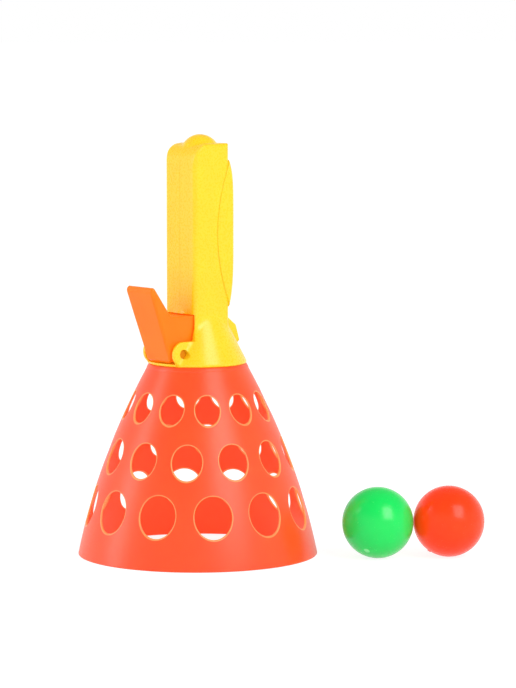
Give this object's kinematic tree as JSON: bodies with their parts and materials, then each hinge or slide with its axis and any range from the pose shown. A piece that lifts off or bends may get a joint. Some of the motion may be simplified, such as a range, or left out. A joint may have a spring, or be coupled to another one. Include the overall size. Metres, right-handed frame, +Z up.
{
  "type": "ball catch toy",
  "caption": "Hand-held toy launcher: a bell-shaped basket with round holes on an upright handle, a squeeze trigger that kicks a ball out of its seat, and light balls.",
  "frame": {"origin": "middle of the basket's mouth, on the table that the toy stands on", "axes": "+Z up along the handle, -X towards the trigger, Y along the trigger pin"},
  "size_m": [0.1908, 0.1847, 0.2364],
  "materials": {
    "basket_plastic": "satin moulded orange-red polypropylene",
    "handle_plastic": "smooth moulded yellow plastic",
    "trigger_plastic": "smooth moulded orange plastic",
    "pin_plastic": "smooth amber plastic",
    "spring_steel": "drawn spring wire",
    "screw_steel": "zinc-plated steel",
    "green_plastic": "satin light plastic",
    "red_plastic": "satin light plastic"
  },
  "bodies": {
    "launcher": {"basket": "basket_plastic", "handle_left_half": "handle_plastic", "handle_right_half": "handle_plastic", "trigger_pin": "pin_plastic", "trigger_spring": "spring_steel", "handle_screw_1": "screw_steel", "handle_screw_2": "screw_steel", "handle_screw_3": "screw_steel", "basket_screw_1": "screw_steel", "basket_screw_2": "screw_steel", "basket_screw_3": "screw_steel", "basket_screw_4": "screw_steel"},
    "trigger": {"trigger": "trigger_plastic"},
    "green_ball": {"ball_green": "green_plastic"},
    "red_ball": {"ball_red": "red_plastic"}
  },
  "joints": [
    {"name": "trigger_pivot", "type": "hinge", "parent": "launcher", "child": "trigger", "pos_m": [-0.0205, 0, 0.1151], "axis": [0, 1, 0], "range_deg": [0, 35], "stiffness_Nm_per_rad": 0.12, "springref_deg": -22.92, "deforming": ["trigger_spring"]},
    {"name": "green_ball_lift", "type": "slide", "parent": "launcher", "child": "green_ball", "axis": [0, 0, 1], "range_m": [0, 0.12]},
    {"name": "red_ball_lift", "type": "slide", "parent": "launcher", "child": "red_ball", "axis": [0, 0, 1], "range_m": [0, 0.12]}
  ]
}
